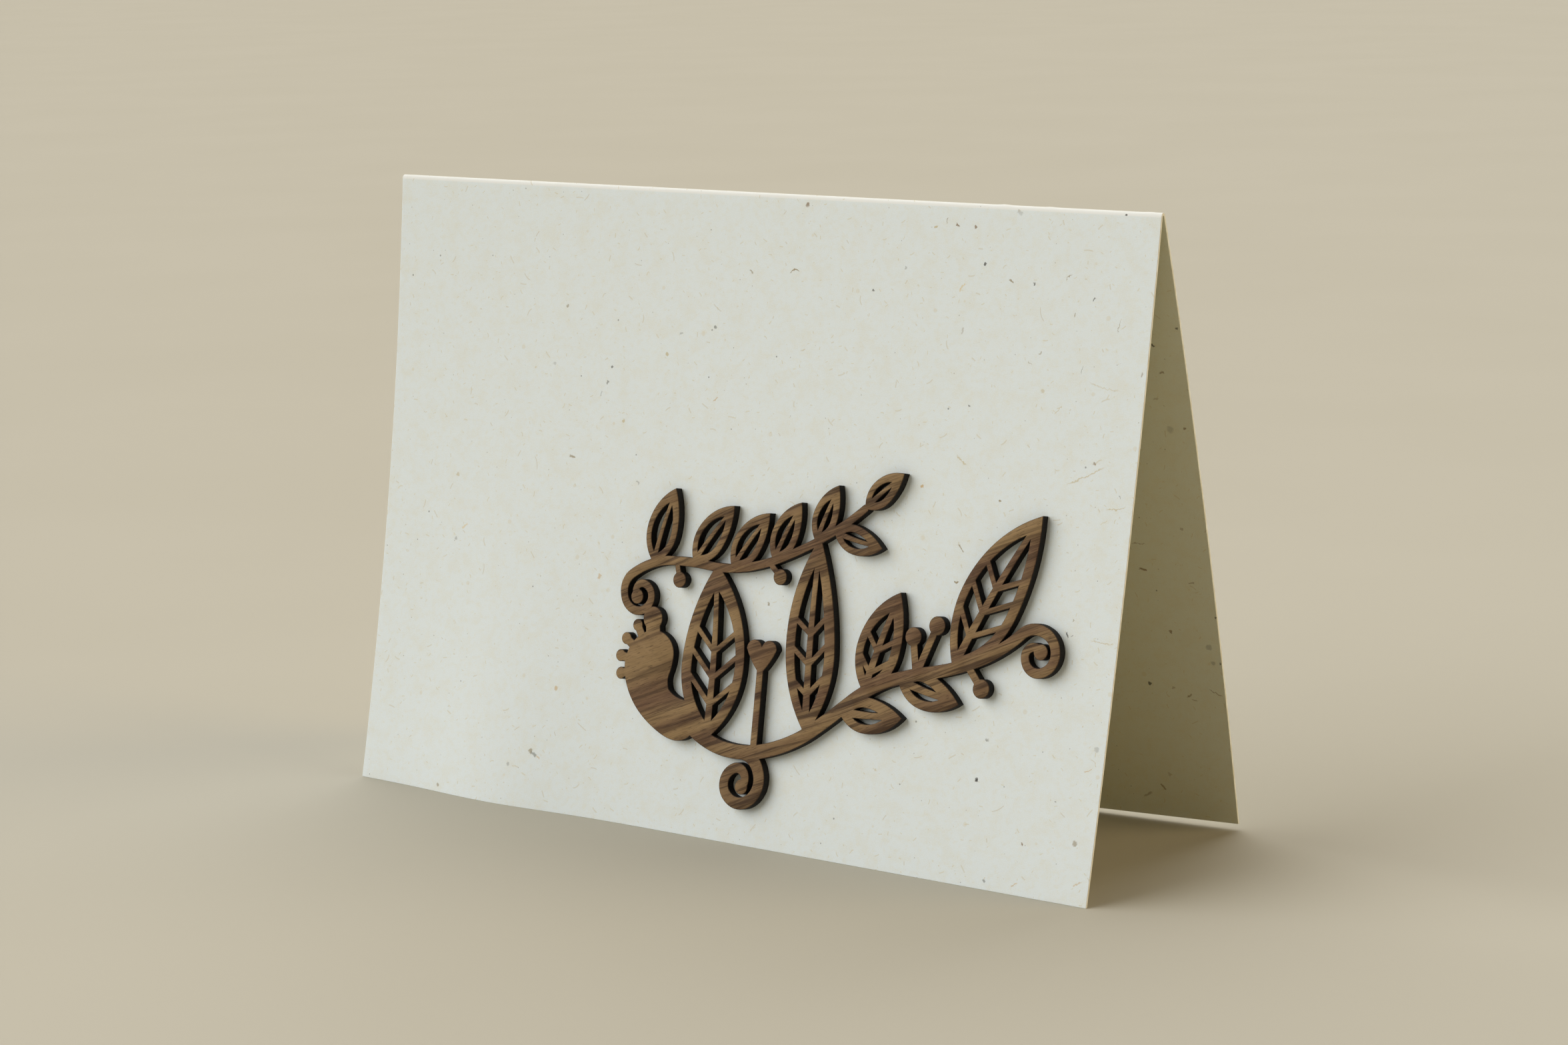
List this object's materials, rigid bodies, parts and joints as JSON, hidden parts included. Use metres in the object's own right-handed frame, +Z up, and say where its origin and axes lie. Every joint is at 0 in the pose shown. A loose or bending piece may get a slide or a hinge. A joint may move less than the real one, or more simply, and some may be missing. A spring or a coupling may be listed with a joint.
{
  "type": "greeting card",
  "caption": "Folded greeting card that stands like a tent, with a laser-cut walnut ornament of vine leaves and a baby's foot glued on its front panel.",
  "frame": {"origin": "on the surface that the card stands on, below the middle of its fold", "axes": "+X along the fold, to the right as seen from the front; -Y out of the front panel; +Z up"},
  "size_m": [0.148, 0.0506, 0.1034],
  "materials": {
    "card_stock": "matt, uncoated off-white card with plant fibres and dark specks",
    "walnut": "bare walnut with fine grain, its cut walls charred nearly black"
  },
  "bodies": {
    "root": {"folded_card": "card_stock", "walnut_ornament": "walnut"}
  },
  "joints": []
}
